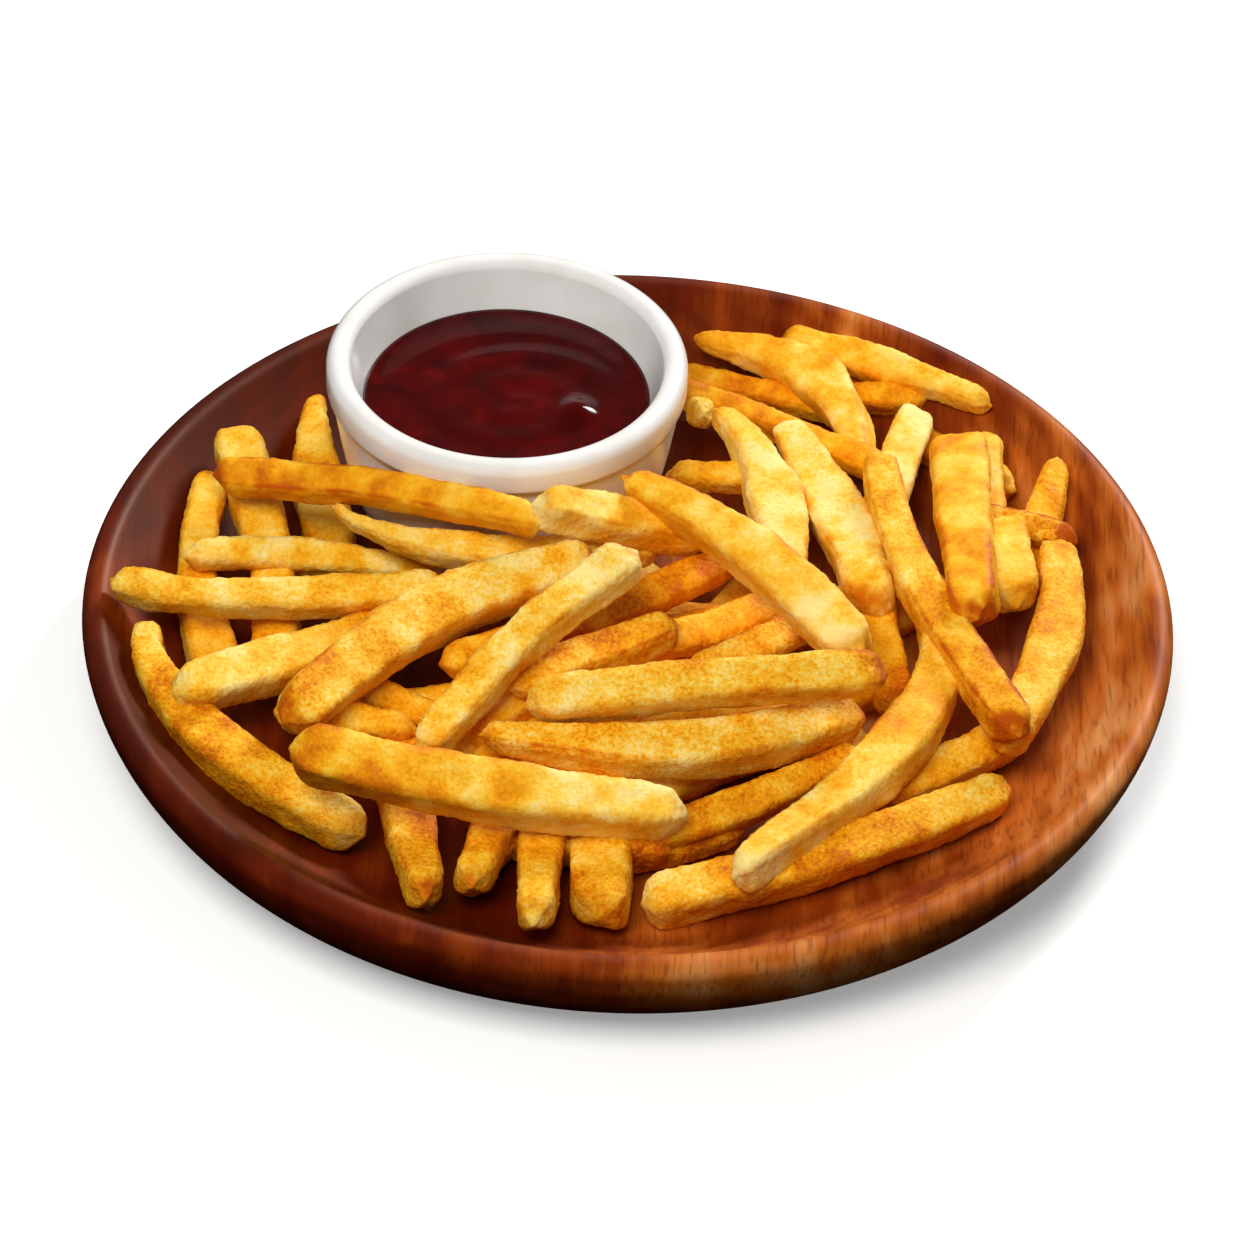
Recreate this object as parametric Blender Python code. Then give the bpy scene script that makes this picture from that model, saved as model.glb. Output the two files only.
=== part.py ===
"""Portion of french fries: a turned wooden plate, a glazed ramekin of ketchup and the heap of fries.

Standalone Blender script. Metres, +Z up. The plate's axis is the Z axis and its base stands on z = 0.
Every size below is in millimetres and is scaled once, where a mesh is made.
"""

from dataclasses import dataclass
from math import cos, pi, radians, sin

import bmesh
import bpy
from mathutils import Vector

MM = 0.001
MERGE = 0.00005
GAP = 0.3

# The plate: a flat floor, a dished wall and a thick rounded rim.
PLATE_RADIUS = 130.0
PLATE_BASE_RADIUS = 110.0
PLATE_WIDEST_LEVEL = 24.7
PLATE_CREST_LEVEL = 28.3
PLATE_FLOOR_LEVEL = 8.0
PLATE_FLOOR_RADIUS = 96.0
PLATE_CREST_RADIUS = 124.9
PLATE_DISH_POWER = 1.45
PLATE_BELLY_POWER = 1.25
PLATE_CREST_ROUNDING = 1.5
PLATE_RIM_START = 128.0

# The ramekin: it tapers to its foot and has a band standing proud round its mouth.
RAMEKIN_X = -31.5
RAMEKIN_Y = 58.5
RAMEKIN_FOOT_LEVEL = PLATE_FLOOR_LEVEL + GAP
RAMEKIN_HEIGHT = 46.0
RAMEKIN_FOOT_RADIUS = 30.0
RAMEKIN_LIP_RADIUS = 44.0
RAMEKIN_NECK_RADIUS = 42.8
RAMEKIN_MOUTH_RADIUS = 37.9
RAMEKIN_WELL_RADIUS = 26.0
RAMEKIN_FLOOR_THICKNESS = 5.0
RAMEKIN_WELL_FILLET = 5.0
RAMEKIN_FLARE_POWER = 0.4
RAMEKIN_FLARE_SHARES = (1.0, 0.46, 0.14, 0.03, 0.0)
LIP_BAND_HEIGHT = 8.6
LIP_BAND_ROUNDING = 1.0
KETCHUP_DEPTH_BELOW_RIM = 12.0
KETCHUP_EDGE_RADIUS = 34.8

# The heap: its sticks lie over a low mound that stands for the fries hidden below them.
MOUND_X = -4.0
MOUND_Y = -4.0
MOUND_RADIUS = 86.0
MOUND_TOP_LEVEL = 21.0
MOUND_EDGE_LEVEL = 10.0
MOUND_POWER = 3.2
MOUND_RINGS = 4
CLEAR_LEVEL = 90.0

PLATE_STEPS = 72
RAMEKIN_STEPS = 44
MOUND_STEPS = 28
STICK_CORNER = 0.28
STRONG_BOW = 4.0


@dataclass(frozen=True)
class Fry:
    """One stick: the middles of its two ends, its widths from tail to tip, and its thickness.

    bow moves its middle to the left, seen from tail to tip. A curl below 1 brings the strongest
    bend nearer to the tail, and one above 1 nearer to the tip.
    """

    tail: tuple
    tip: tuple
    widths: tuple
    thickness: float
    bow: float = 0.0
    curl: float = 1.0


FRONT_FRIES = (
    Fry((-74, -73, 40), (13, -75, 26), (13, 12, 10), 12, bow=-3),
    Fry((-21, -46, 33), (59, -42, 43), (9, 10, 9), 11, bow=1),
    Fry((-32, -50, 26), (54, -38, 26), (5, 11, 8), 10, bow=-9),
    Fry((-1, -78, 18), (54, -43, 18), (8, 8, 7), 9, bow=-2),
    Fry((71, 5, 27), (27, -90, 22), (9, 12, 5), 10, bow=16, curl=0.75),
    Fry((7, -92, 14), (89, -53, 17), (11, 10, 9), 11, bow=-3),
    Fry((94, -29, 15), (61, -53, 14), (9, 9, 9), 9),
    Fry((-26, -72, 14), (10, -77, 17), (8, 8, 7), 9),
    Fry((-4, -78, 13), (27, -66, 13), (6, 6, 5), 7),
)

FRONT_ENDS = (
    Fry((-53, -43, 14), (-44, -99, 20), (12, 12, 7), 10),
    Fry((-24, -46, 14), (-33, -93, 19), (10, 10, 8), 10),
    Fry((-21, -61, 13), (-36, -88, 14), (8, 8, 7), 8),
    Fry((-17, -50, 14), (-19, -105, 20), (10, 10, 8), 10),
    Fry((-5, -47, 14), (-4, -98, 16), (13, 14, 12), 12),
)

MIDDLE_FRIES = (
    Fry((-1, 17, 50), (54, -27, 37), (6, 12, 11), 11, bow=4),
    Fry((0, -12, 51), (-46, -55, 26), (10, 9, 8), 9, bow=-3, curl=1.4),
    Fry((-42, -24, 26), (23, 13, 29), (8, 8, 8), 9, bow=-3),
    Fry((-26, -34, 28), (10, -13, 30), (8, 9, 8), 9),
    Fry((0, -15, 24), (45, 13, 24), (8, 8, 8), 8, bow=-3),
    Fry((15, -23, 24), (50, 0, 27), (7, 8, 8), 8),
    Fry((56, 25, 23), (64, -25, 19), (9, 9, 9), 9),
    Fry((-35, -42, 20), (-3, -11, 23), (8, 8, 8), 9),
    Fry((-22, 4, 52), (19, 15, 34), (9, 9, 8), 10),
    Fry((10, 52, 24), (37, 46, 28), (6, 6, 6), 8),
)

LEFT_FRIES = (
    Fry((-100, 32, 35), (-22, 3, 48), (8, 8, 7), 8, bow=3),
    Fry((-71, 21, 35), (6, 12, 33), (3, 8, 6), 9, bow=-10, curl=0.75),
    Fry((-105, 10, 28), (-47, 15, 21), (6, 8, 5), 8, bow=3, curl=0.75),
    Fry((-122, -3, 30), (-45, -1, 29), (7, 8, 8), 9, bow=-5, curl=0.75),
    Fry((-78, -50, 30), (-9, 2, 37), (11, 13, 8), 12, bow=8),
    Fry((-104, -41, 29), (-57, -8, 21), (10, 11, 10), 10),
    Fry((-113, -15, 25), (-61, -72, 15), (7, 11, 10), 11, bow=-11, curl=0.75),
    Fry((-103, 45, 23), (-97, -18, 14), (8, 9, 11), 9, bow=-4),
    Fry((-98, 57, 28), (-83, -14, 15), (11, 11, 10), 10, bow=3),
    Fry((-79, 81, 21), (-71, 28, 14), (4, 12, 11), 10, bow=-3, curl=0.75),
    Fry((-80, -37, 20), (-50, -43, 21), (8, 8, 6), 9),
    Fry((-67, -26, 20), (-29, -41, 17), (7, 7, 7), 8),
)

RIGHT_FRIES = (
    Fry((61, 48, 34), (91, -46, 30), (8, 10, 9), 10, bow=-6, curl=0.75),
    Fry((79, 60, 30), (82, -13, 37), (13, 13, 10), 10),
    Fry((88, 71, 23), (86, 21, 24), (6, 7, 7), 8),
    Fry((70, 81, 22), (57, 24, 15), (9, 10, 10), 10, bow=-1),
    Fry((16, 107, 24), (56, 58, 24), (4, 12, 6), 11, bow=13),
    Fry((38, 111, 22), (87, 82, 26), (7, 8, 5), 8, bow=2, curl=1.4),
    Fry((36, 92, 17), (72, 92, 20), (7, 7, 7), 8),
    Fry((20, 65, 34), (39, 9, 23), (4, 13, 8), 10, bow=5, curl=0.75),
    Fry((17, 70, 30), (16, 90, 16), (6, 7, 7), 7),
    Fry((38, 68, 26), (58, 0, 28), (8, 13, 11), 11, bow=3, curl=1.4),
    Fry((11, 102, 17), (55, 84, 19), (6, 6, 6), 7),
    Fry((11, 88, 21), (61, 56, 25), (6, 6, 6), 8, bow=2),
    Fry((90, 29, 30), (92, 2, 29), (10, 11, 11), 10),
    Fry((101, 23, 29), (89, -42, 22), (8, 12, 9), 10, bow=6, curl=0.75),
    Fry((104, 58, 27), (97, 28, 16), (6, 8, 8), 8),
    Fry((67, 83, 15), (93, 58, 19), (7, 8, 8), 8),
    Fry((81, 40, 25), (106, 31, 25), (6, 7, 7), 8),
)

FRIES = FRONT_FRIES + FRONT_ENDS + MIDDLE_FRIES + LEFT_FRIES + RIGHT_FRIES


def clear_scene():
    """Empty the file before anything is modelled."""
    for old in list(bpy.data.objects):
        bpy.data.objects.remove(old, do_unlink=True)


def material(name, color, roughness, metallic=0.0):
    """Return a Principled BSDF material with a plain colour."""
    made = bpy.data.materials.new(name)
    made.use_nodes = True
    shader = made.node_tree.nodes["Principled BSDF"]
    shader.inputs["Base Color"].default_value = (*color, 1.0)
    shader.inputs["Roughness"].default_value = roughness
    shader.inputs["Metallic"].default_value = metallic
    return made


def add_object(name, mesh, made_of=None, guide=False):
    """Link a mesh as an object; a guide is drawn as a wire and is never rendered."""
    thing = bpy.data.objects.new(name, mesh)
    bpy.context.scene.collection.objects.link(thing)
    if made_of:
        mesh.materials.append(made_of)
    if guide:
        thing.hide_render = True
        thing.display_type = "WIRE"
    return thing


def arc(center, radius, start, end, steps):
    """Points of a circular arc in the (radius, height) plane, with angles in degrees."""
    angles = [radians(start + (end - start) * k / steps) for k in range(steps + 1)]
    return [(center[0] + radius * cos(a), center[1] + radius * sin(a)) for a in angles]


def turned(name, profile, steps, made_of=None, center=(0.0, 0.0), guide=False):
    """Turn a profile, given from the axis at the top down the outer side to the axis below."""
    mesh = bpy.data.meshes.new(name)
    points = [(radius * MM, 0.0, height * MM) for radius, height in profile]
    mesh.from_pydata(points, [(k, k + 1) for k in range(len(points) - 1)], [])
    thing = add_object(name, mesh, made_of, guide)
    thing.location = (center[0] * MM, center[1] * MM, 0.0)
    screw = thing.modifiers.new("Turn", "SCREW")
    screw.angle = 2.0 * pi
    screw.steps = steps
    screw.render_steps = steps
    screw.use_merge_vertices = True
    screw.merge_threshold = MERGE
    screw.use_smooth_shade = True
    return thing


def dish_level(radius):
    """Height of the plate's inner face at a distance from its axis."""
    rise = (radius - PLATE_FLOOR_RADIUS) / (PLATE_CREST_RADIUS - PLATE_FLOOR_RADIUS)
    climb = PLATE_CREST_LEVEL - PLATE_FLOOR_LEVEL
    return PLATE_FLOOR_LEVEL + climb * max(rise, 0.0) ** PLATE_DISH_POWER


def dish_profile(lift, last_radius, steps=7):
    """Inner face of the plate from the axis outwards, lifted by a clearance."""
    radii = [PLATE_FLOOR_RADIUS + (last_radius - PLATE_FLOOR_RADIUS) * k / steps for k in range(steps + 1)]
    return [(0.0, PLATE_FLOOR_LEVEL + lift)] + [(r, dish_level(r) + lift) for r in radii]


def build_plate():
    """Turned plate: floor, dished wall, rounded rim, bellied underside and a flat base."""
    wood = material("oiled_acacia", (0.25, 0.07, 0.02), 0.38)
    rim_radius = PLATE_CREST_LEVEL - PLATE_WIDEST_LEVEL
    rim_center = (PLATE_RADIUS - rim_radius, PLATE_WIDEST_LEVEL)
    rim = arc(rim_center, rim_radius, PLATE_RIM_START, 0.0, 6)
    belly = []
    steps = 7
    for k in range(1, steps + 1):
        angle = 0.5 * pi * (1.0 - k / steps)
        reach = sin(angle) ** PLATE_BELLY_POWER
        drop = max(cos(angle), 0.0) ** PLATE_BELLY_POWER
        radius = PLATE_BASE_RADIUS + (PLATE_RADIUS - PLATE_BASE_RADIUS) * reach
        belly.append((radius, PLATE_WIDEST_LEVEL * (1.0 - drop)))
    dish = dish_profile(0.0, PLATE_CREST_RADIUS - PLATE_CREST_ROUNDING)
    return turned("plate", dish + rim + belly + [(0.0, 0.0)], PLATE_STEPS, wood)


def ramekin_outside(clearance=0.0):
    """Outer face of the ramekin from its band down to its foot, grown by a clearance."""
    top = RAMEKIN_FOOT_LEVEL + RAMEKIN_HEIGHT
    neck = top - LIP_BAND_HEIGHT
    outside = [
        (RAMEKIN_LIP_RADIUS, top - 0.5 * (RAMEKIN_LIP_RADIUS - RAMEKIN_MOUTH_RADIUS)),
        (RAMEKIN_LIP_RADIUS, neck + LIP_BAND_ROUNDING),
        (RAMEKIN_LIP_RADIUS - LIP_BAND_ROUNDING, neck),
    ]
    for share in RAMEKIN_FLARE_SHARES:
        flare = (RAMEKIN_NECK_RADIUS - RAMEKIN_FOOT_RADIUS) * share ** RAMEKIN_FLARE_POWER
        height = RAMEKIN_FOOT_LEVEL + (neck - RAMEKIN_FOOT_LEVEL) * share
        outside.append((RAMEKIN_FOOT_RADIUS + flare, height))
    return [(radius + clearance, height) for radius, height in outside]


def ramekin_inside(clearance=0.0):
    """Inner face of the ramekin below its mouth, from the floor's axis up, shrunk by a clearance."""
    floor = RAMEKIN_FOOT_LEVEL + RAMEKIN_FLOOR_THICKNESS + clearance
    level = RAMEKIN_FOOT_LEVEL + RAMEKIN_HEIGHT - KETCHUP_DEPTH_BELOW_RIM
    middle = (RAMEKIN_WELL_RADIUS, floor + RAMEKIN_WELL_FILLET)
    corner = arc(middle, RAMEKIN_WELL_FILLET - clearance, -90.0, 0.0, 3)
    wall = (KETCHUP_EDGE_RADIUS + GAP - clearance, level)
    return [(0.0, corner[0][1])] + corner + [wall]


def build_ramekin():
    """Glazed ramekin: a hollow cup with a thick rounded mouth and a band round it."""
    glaze = material("white_glazed_stoneware", (0.82, 0.81, 0.78), 0.16)
    top = RAMEKIN_FOOT_LEVEL + RAMEKIN_HEIGHT
    lip_radius = 0.5 * (RAMEKIN_LIP_RADIUS - RAMEKIN_MOUTH_RADIUS)
    lip_center = (RAMEKIN_MOUTH_RADIUS + lip_radius, top - lip_radius)
    mouth = arc(lip_center, lip_radius, 180.0, 0.0, 6)
    outside = ramekin_outside()
    profile = ramekin_inside() + mouth + outside[1:] + [(0.0, RAMEKIN_FOOT_LEVEL)]
    return turned("ramekin", profile, RAMEKIN_STEPS, glaze, (RAMEKIN_X, RAMEKIN_Y))


def build_ketchup():
    """Ketchup filling the ramekin up to its level."""
    sauce = material("ketchup", (0.22, 0.005, 0.003), 0.12)
    inside = ramekin_inside(GAP)
    level = inside[-1][1]
    profile = [(0.0, level)] + inside[::-1]
    return turned("ketchup", profile, RAMEKIN_STEPS, sauce, (RAMEKIN_X, RAMEKIN_Y))


def stick_path(fry, steps):
    """Centre points of a stick, with the share of the length that each stands at."""
    tail = Vector(fry.tail)
    tip = Vector(fry.tip)
    along = (tip - tail).normalized()
    left = Vector((0.0, 0.0, 1.0)).cross(along).normalized()
    path = []
    for k in range(steps + 1):
        share = k / steps
        path.append((share, tail.lerp(tip, share) + left * fry.bow * sin(pi * share ** fry.curl)))
    return path


def stick_width(fry, share):
    """Width at a share of the length, in two straight runs between the three stated widths."""
    first, middle, last = fry.widths
    if share < 0.5:
        return first + (middle - first) * 2.0 * share
    return middle + (last - middle) * (2.0 * share - 1.0)


def stick_section(width, thickness):
    """Cross-section of a stick: a rectangle with its four corners cut off."""
    across = 0.5 * width
    up = 0.5 * thickness
    cut = STICK_CORNER * min(width, thickness)
    return [
        (across, up - cut), (across - cut, up), (cut - across, up), (-across, up - cut),
        (-across, cut - up), (cut - across, -up), (across - cut, -up), (across, cut - up),
    ]


def add_stick(mesh, fry):
    """Loft one stick into the bmesh as a closed bar."""
    steps = 4 if abs(fry.bow) > STRONG_BOW else 2
    path = stick_path(fry, steps)
    rings = []
    for k, (share, middle) in enumerate(path):
        ahead = path[min(k + 1, steps)][1] - path[max(k - 1, 0)][1]
        along = ahead.normalized()
        left = Vector((0.0, 0.0, 1.0)).cross(along).normalized()
        up = along.cross(left)
        width = stick_width(fry, share)
        height = min(fry.thickness, width + 2.0)
        corners = [middle + left * a + up * b for a, b in stick_section(width, height)]
        rings.append([mesh.verts.new(corner * MM) for corner in corners])
    for first, second in zip(rings, rings[1:]):
        for k in range(8):
            after = (k + 1) % 8
            mesh.faces.new((first[k], first[after], second[after], second[k]))
    mesh.faces.new(rings[0][::-1])
    mesh.faces.new(rings[-1])


def build_sticks():
    """All sticks as one guide, each a closed bar of its own."""
    mesh = bmesh.new()
    for fry in FRIES:
        add_stick(mesh, fry)
    bmesh.ops.recalc_face_normals(mesh, faces=mesh.faces)
    data = bpy.data.meshes.new("sticks")
    mesh.to_mesh(data)
    mesh.free()
    return add_object("sticks", data, guide=True)


def combine(thing, other, operation, use_self=False):
    """Add an exact Boolean with another object."""
    step = thing.modifiers.new(operation.title(), "BOOLEAN")
    step.operation = operation
    step.solver = "EXACT"
    step.use_self = use_self
    step.object = other


def build_heap():
    """Heap of fries: the mound and its sticks as one solid, clear of the plate and the ramekin."""
    fried = material("fried_potato", (0.75, 0.42, 0.06), 0.5)
    mound_profile = []
    for k in range(MOUND_RINGS + 1):
        share = k / MOUND_RINGS
        drop = (MOUND_TOP_LEVEL - MOUND_EDGE_LEVEL) * share ** MOUND_POWER
        mound_profile.append((MOUND_RADIUS * share, MOUND_TOP_LEVEL - drop))
    below_floor = PLATE_FLOOR_LEVEL - 1.0
    mound_profile += [(MOUND_RADIUS, below_floor), (0.0, below_floor)]
    heap = turned("fries", mound_profile, MOUND_STEPS, fried, (MOUND_X, MOUND_Y))

    room_profile = [(0.0, CLEAR_LEVEL), (PLATE_CREST_RADIUS, CLEAR_LEVEL)]
    room_profile += dish_profile(GAP, PLATE_CREST_RADIUS)[::-1]
    room = turned("room_over_dish", room_profile, PLATE_STEPS, guide=True)

    outside = ramekin_outside(GAP)
    clear_profile = [(0.0, CLEAR_LEVEL), (outside[0][0], CLEAR_LEVEL)] + outside
    clear_profile += [(outside[-1][0], below_floor), (0.0, below_floor)]
    ramekin_place = (RAMEKIN_X, RAMEKIN_Y)
    clear = turned("room_for_ramekin", clear_profile, RAMEKIN_STEPS, center=ramekin_place, guide=True)

    combine(heap, build_sticks(), "UNION", use_self=True)
    combine(heap, room, "INTERSECT")
    combine(heap, clear, "DIFFERENCE")
    return heap


clear_scene()
build_plate()
build_ramekin()
build_ketchup()
build_heap()
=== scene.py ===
"""Looks of a portion of french fries on a turned wooden plate, with a ramekin of ketchup.

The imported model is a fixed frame: it gives the place of every piece. Lengths in this script are
in millimetres until they are written to a mesh, because the sizes of the food are easiest to
judge so, and they are scaled once by MM.
"""

import logging
import random
from dataclasses import dataclass
from enum import Enum
from functools import partial
from math import atan2, cos, exp, hypot, pi, radians, sin, sqrt, tau

import bpy
from mathutils import Euler, Matrix, Vector


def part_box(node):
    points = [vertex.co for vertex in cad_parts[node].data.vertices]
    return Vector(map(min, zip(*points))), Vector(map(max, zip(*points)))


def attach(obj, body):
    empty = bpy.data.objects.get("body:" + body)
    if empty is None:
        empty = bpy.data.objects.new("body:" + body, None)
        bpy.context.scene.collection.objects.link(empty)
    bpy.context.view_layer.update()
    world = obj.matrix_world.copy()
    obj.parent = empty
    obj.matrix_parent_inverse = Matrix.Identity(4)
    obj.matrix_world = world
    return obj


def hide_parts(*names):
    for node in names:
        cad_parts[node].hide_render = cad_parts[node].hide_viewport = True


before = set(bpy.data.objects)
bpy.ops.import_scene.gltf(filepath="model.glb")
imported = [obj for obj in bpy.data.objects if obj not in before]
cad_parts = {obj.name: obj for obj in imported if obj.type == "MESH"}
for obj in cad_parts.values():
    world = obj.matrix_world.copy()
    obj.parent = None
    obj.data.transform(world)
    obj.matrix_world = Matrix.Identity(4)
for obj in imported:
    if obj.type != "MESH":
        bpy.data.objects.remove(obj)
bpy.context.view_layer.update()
MM = 0.001
ROOT = "root"
LOG = logging.getLogger("french_fries")


# ---------------------------------------------------------------- small shared tools


def linear(sheet: str) -> tuple[float, float, float, float]:
    """Turn an sRGB hex colour into the linear values that shaders use.

    Args:
        sheet: The colour as six hex digits.

    Returns:
        Linear red, green and blue, and an alpha of one.
    """
    parts = [int(sheet[k:k + 2], 16) / 255.0 for k in (0, 2, 4)]
    red, green, blue = (p / 12.92 if p <= 0.04045 else ((p + 0.055) / 1.055) ** 2.4 for p in parts)
    return (red, green, blue, 1.0)


def feed(tree: bpy.types.NodeTree, node: bpy.types.Node, inputs: dict) -> bpy.types.Node:
    """Give a node's inputs their values and links.

    Args:
        tree: The tree that holds the node.
        node: The node to feed.
        inputs: Values, sockets or nodes by the name or index of the input. A node gives its first
            output that is in use.

    Returns:
        The same node.
    """
    for key, value in inputs.items():
        if isinstance(key, int):
            socket = node.inputs[key]
        else:
            socket = next(s for s in node.inputs if s.name == key and s.enabled)
        if isinstance(value, bpy.types.Node):
            value = next(s for s in value.outputs if s.enabled)
        if isinstance(value, bpy.types.NodeSocket):
            tree.links.new(value, socket)
        else:
            socket.default_value = value
    return node


def add_node(
    tree: bpy.types.NodeTree, kind: str, settings: dict | str | None = None, inputs: dict | None = None
) -> bpy.types.Node:
    """Add a node, set it and feed its inputs.

    Args:
        tree: The shader or geometry tree that takes the node.
        kind: Blender's name of the node type.
        settings: Attributes of the node, or only the name of its operation.
        inputs: What its inputs get, as for feed.

    Returns:
        The new node.
    """
    node = tree.nodes.new(kind)
    if isinstance(settings, str):
        settings = {"operation": settings}
    for key, value in (settings or {}).items():
        setattr(node, key, value)
    return feed(tree, node, inputs or {})


def set_ramp(node: bpy.types.Node, stops: list[tuple[float, str]]) -> bpy.types.Node:
    """Give a colour ramp its stops.

    Args:
        node: The colour ramp node.
        stops: Place and hex colour of each stop, in order.

    Returns:
        The same node.
    """
    elements = node.color_ramp.elements
    while len(elements) > 1:
        elements.remove(elements[-1])
    elements[0].position, elements[0].color = stops[0][0], linear(stops[0][1])
    for place, sheet in stops[1:]:
        elements.new(place).color = linear(sheet)
    return node


def new_material(name: str) -> tuple[bpy.types.Material, bpy.types.Node]:
    """Make an empty node material.

    Args:
        name: Name of the material.

    Returns:
        The material and its Principled BSDF node.
    """
    material = bpy.data.materials.new(name)
    material.use_nodes = True
    material.node_tree.nodes.clear()
    shader = add_node(material.node_tree, "ShaderNodeBsdfPrincipled")
    add_node(material.node_tree, "ShaderNodeOutputMaterial", inputs={"Surface": shader})
    return material, shader


def add_piece(
    name: str, mesh: bpy.types.Mesh, material: bpy.types.Material, slot: str, *nodes: str
) -> bpy.types.Object:
    """Add a finished piece, dress it and tie it to the frame.

    Args:
        name: Name of the piece.
        mesh: Its mesh, in metres, in the frame's own place.
        material: Its finish.
        slot: The record's material slot; not used.
        nodes: The CAD nodes that it stands for.

    Returns:
        The piece.
    """
    piece = bpy.data.objects.new(name, mesh)
    bpy.context.scene.collection.objects.link(piece)
    mesh.materials.clear()
    mesh.materials.append(material)
    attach(piece, ROOT)
    if nodes:
        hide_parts(*nodes)
    LOG.info("%s: %d faces", name, len(mesh.polygons))
    return piece


def arc(
    middle: tuple[float, float], radius: float, start: float, end: float, steps: int
) -> list[tuple[float, float]]:
    """Points of a circular arc in the plane of radius and height.

    Args:
        middle: Centre of the arc.
        radius: Radius of the arc.
        start: First angle in degrees.
        end: Last angle in degrees.
        steps: Number of chords.

    Returns:
        The points, both ends included.
    """
    angles = [radians(start + (end - start) * k / steps) for k in range(steps + 1)]
    return [(middle[0] + radius * cos(a), middle[1] + radius * sin(a)) for a in angles]


def turned_mesh(
    name: str, profile: list[tuple[float, float]], steps: int, centre: tuple[float, float] = (0.0, 0.0)
) -> bpy.types.Mesh:
    """Turn a profile about a vertical axis into a closed mesh.

    Args:
        name: Name of the mesh.
        profile: Radius and height in millimetres, from the axis at the top, down the outer side,
            to the axis below. Only the first and last points stand on the axis.
        steps: Number of steps round the axis.
        centre: Place of the axis in millimetres.

    Returns:
        A smooth mesh whose faces point outwards.
    """
    points = [(centre[0], centre[1], profile[0][1])]
    for radius, height in profile[1:-1]:
        for k in range(steps):
            angle = tau * k / steps
            points.append((centre[0] + radius * cos(angle), centre[1] + radius * sin(angle), height))
    points.append((centre[0], centre[1], profile[-1][1]))
    rings = len(profile) - 2
    faces = []
    for k in range(steps):
        after = (k + 1) % steps
        faces.append((0, 1 + k, 1 + after))
        for ring in range(rings - 1):
            here = 1 + ring * steps
            faces.append((here + k, here + steps + k, here + steps + after, here + after))
        last = 1 + (rings - 1) * steps
        faces.append((last + k, len(points) - 1, last + after))
    mesh = bpy.data.meshes.new(name)
    mesh.from_pydata([tuple(c * MM for c in point) for point in points], [], faces)
    mesh.shade_smooth()
    return mesh


# ---------------------------------------------------------------- finishes


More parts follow.
